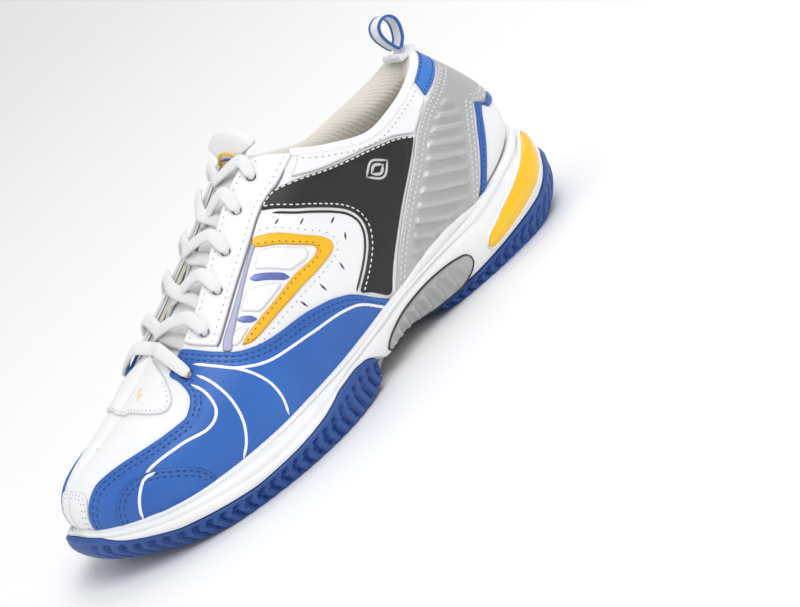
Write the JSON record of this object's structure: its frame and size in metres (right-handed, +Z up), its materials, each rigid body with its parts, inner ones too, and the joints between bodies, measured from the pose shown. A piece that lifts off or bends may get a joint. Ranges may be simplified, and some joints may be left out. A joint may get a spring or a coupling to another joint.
{
  "type": "court shoe",
  "caption": "Low-cut lace-up indoor court shoe with layered leather upper, padded collar, side-wrapped midsole and split gum outsole.",
  "frame": {"origin": "centre of the bounding box at ground level", "axes": "+X towards the toe, +Y towards the outer side of this left shoe, +Z up"},
  "size_m": [0.3004, 0.1091, 0.1265],
  "materials": {
    "white_leather": "satin",
    "blue_leather": "satin",
    "black_leather": "satin",
    "silver_leather": "satin",
    "yellow_leather": "satin",
    "window_film": "satin",
    "mesh_lining": "matte",
    "white_fabric": "matte",
    "lace_fabric": "matte",
    "white_foam": "satin",
    "blue_rubber": "satin",
    "yellow_rubber": "satin",
    "yellow_gloss": "gloss",
    "grey_tpu": "gloss",
    "board": "matte"
  },
  "bodies": {
    "shoe": {"outsole_forefoot": "blue_rubber", "outsole_heel": "blue_rubber", "midsole": "white_foam", "forefoot_insert": "yellow_rubber", "pivot_disc": "yellow_rubber", "shank_plate": "grey_tpu", "arch_window_lateral": "grey_tpu", "arch_window_medial": "grey_tpu", "heel_insert_lateral": "yellow_gloss", "heel_insert_medial": "yellow_gloss", "strobel_board": "board", "sockliner": "white_fabric", "quarter_lining": "mesh_lining", "vamp_lining": "mesh_lining", "vamp": "white_leather", "toe_cap": "white_leather", "quarter_lateral": "white_leather", "quarter_medial": "white_leather", "heel_back": "white_leather", "collar_panel_lateral": "white_leather", "collar_panel_medial": "white_leather", "eyestay_lateral": "white_leather", "eyestay_medial": "white_leather", "mudguard_lateral": "blue_leather", "mudguard_medial": "blue_leather", "saddle_lateral": "black_leather", "saddle_medial": "black_leather", "heel_strap_lateral": "silver_leather", "heel_strap_medial": "silver_leather", "heel_trim": "blue_leather", "achilles_patch": "blue_leather", "stripe_lateral": "yellow_leather", "stripe_medial": "yellow_leather", "side_window_lateral": "window_film", "side_window_medial": "window_film", "throat_patch": "white_leather", "toe_rand_lateral": "blue_leather", "toe_rand_medial": "blue_leather", "collar_padding": "mesh_lining", "tab_anchor": "blue_leather", "lace": "lace_fabric"},
    "tongue_flap": {"tongue": "white_leather", "tongue_badge": "yellow_rubber"},
    "heel_tab": {"pull_tab": "white_fabric"}
  },
  "joints": [
    {"name": "tongue_hinge", "type": "hinge", "parent": "shoe", "child": "tongue_flap", "pos_m": [0.081, -0.003, 0.0535], "axis": [0, 1, 0], "range_deg": [-4, 0]},
    {"name": "tab_hinge", "type": "hinge", "parent": "shoe", "child": "heel_tab", "pos_m": [-0.1175, -0.003, 0.1034], "axis": [0, 1, 0], "range_deg": [-35, 35]}
  ]
}
